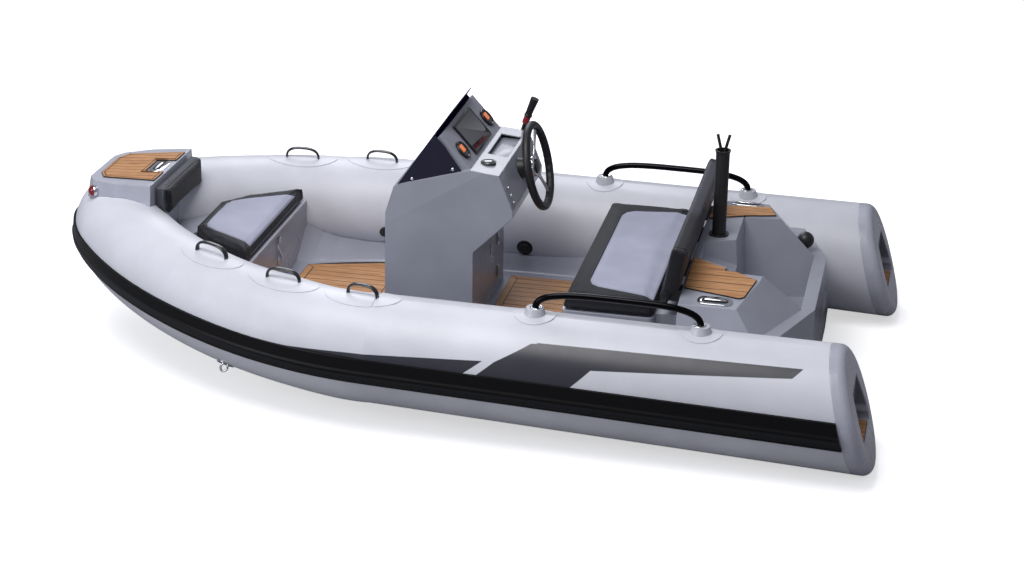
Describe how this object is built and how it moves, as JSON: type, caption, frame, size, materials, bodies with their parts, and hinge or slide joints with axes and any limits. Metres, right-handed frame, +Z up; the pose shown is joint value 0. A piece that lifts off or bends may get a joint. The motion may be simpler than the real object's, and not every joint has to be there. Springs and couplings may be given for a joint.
{
  "type": "rigid inflatable boat",
  "caption": "Rigid inflatable boat with tapered buoyancy tubes, V hull, steering console, helm seat and bow locker.",
  "frame": {"origin": "waterline, on the centreline at mid length", "axes": "+X to the bow, +Y to port, +Z up"},
  "size_m": [3.343, 1.9592, 1.2351],
  "materials": {
    "hull_grp": "gloss",
    "liner_grp": "satin",
    "tube_fabric": "satin",
    "strake_rubber": "satin",
    "cap_grp": "gloss",
    "teak": "satin",
    "step_grp": "gloss",
    "polished_steel": "polished",
    "dark_vinyl": "satin",
    "cushion_vinyl": "satin",
    "console_grp": "satin",
    "smoked_acrylic": "gloss",
    "display_glass": "gloss",
    "gauge_face": "gloss",
    "black_plastic": "satin",
    "wheel_grip": "satin",
    "black_rail": "gloss",
    "white_plastic": "satin",
    "grip_rubber": "satin",
    "cable_black": "satin",
    "lamp_lens": "gloss"
  },
  "bodies": {
    "boat": {"aft_cleats": "polished_steel", "aft_deck_teak": "teak", "backrest_brackets": "black_plastic", "backrest_pad": "dark_vinyl", "bow_bolster": "dark_vinyl", "bow_cleat": "polished_steel", "bow_step": "step_grp", "bow_step_teak": "teak", "cable_stubs": "cable_black", "cap_step_pads": "teak", "cockpit_liner": "liner_grp", "compass": "black_plastic", "console_shell": "console_grp", "dash_display": "display_glass", "dash_gauges": "gauge_face", "floor_teak": "teak", "grab_handles": "grip_rubber", "grab_rails": "black_rail", "helm_seat_base": "liner_grp", "helm_seat_cushion": "cushion_vinyl", "hinges": "polished_steel", "hull": "hull_grp", "inflation_valves": "black_plastic", "lamp_lenses": "lamp_lens", "locker_latch": "polished_steel", "navigation_lights": "polished_steel", "rail_cups": "white_plastic", "rigging_tube": "black_plastic", "rubbing_strake": "strake_rubber", "steering_boss": "black_plastic", "switches": "polished_steel", "throttle_lever": "black_plastic", "tow_ball": "black_plastic", "towing_eyes": "polished_steel", "tube_bow": "tube_fabric", "tube_end_caps": "cap_grp", "tube_patches": "tube_fabric", "tube_port": "tube_fabric", "tube_starboard": "tube_fabric", "windscreen": "smoked_acrylic"},
    "locker_lid": {"bow_locker_lid": "step_grp", "bow_locker_cushion": "cushion_vinyl"},
    "door": {"console_door": "console_grp", "door_latch": "polished_steel"},
    "wheel": {"steering_wheel_rim": "wheel_grip", "steering_wheel_hub": "polished_steel"}
  },
  "joints": [
    {"name": "steering", "type": "hinge", "parent": "boat", "child": "wheel", "pos_m": [-0.281, 0, 0.795], "axis": [-0.9732, 0, 0.23], "range_deg": [-540, 540]},
    {"name": "locker_lid_hinge", "type": "hinge", "parent": "boat", "child": "locker_lid", "pos_m": [1.106, 0, 0.4075], "axis": [0, 1, 0], "range_deg": [0, 50]},
    {"name": "door_hinge", "type": "hinge", "parent": "boat", "child": "door", "pos_m": [-0.09, -0.15, 0.3435], "axis": [0, 0, 1], "range_deg": [0, 100]}
  ]
}
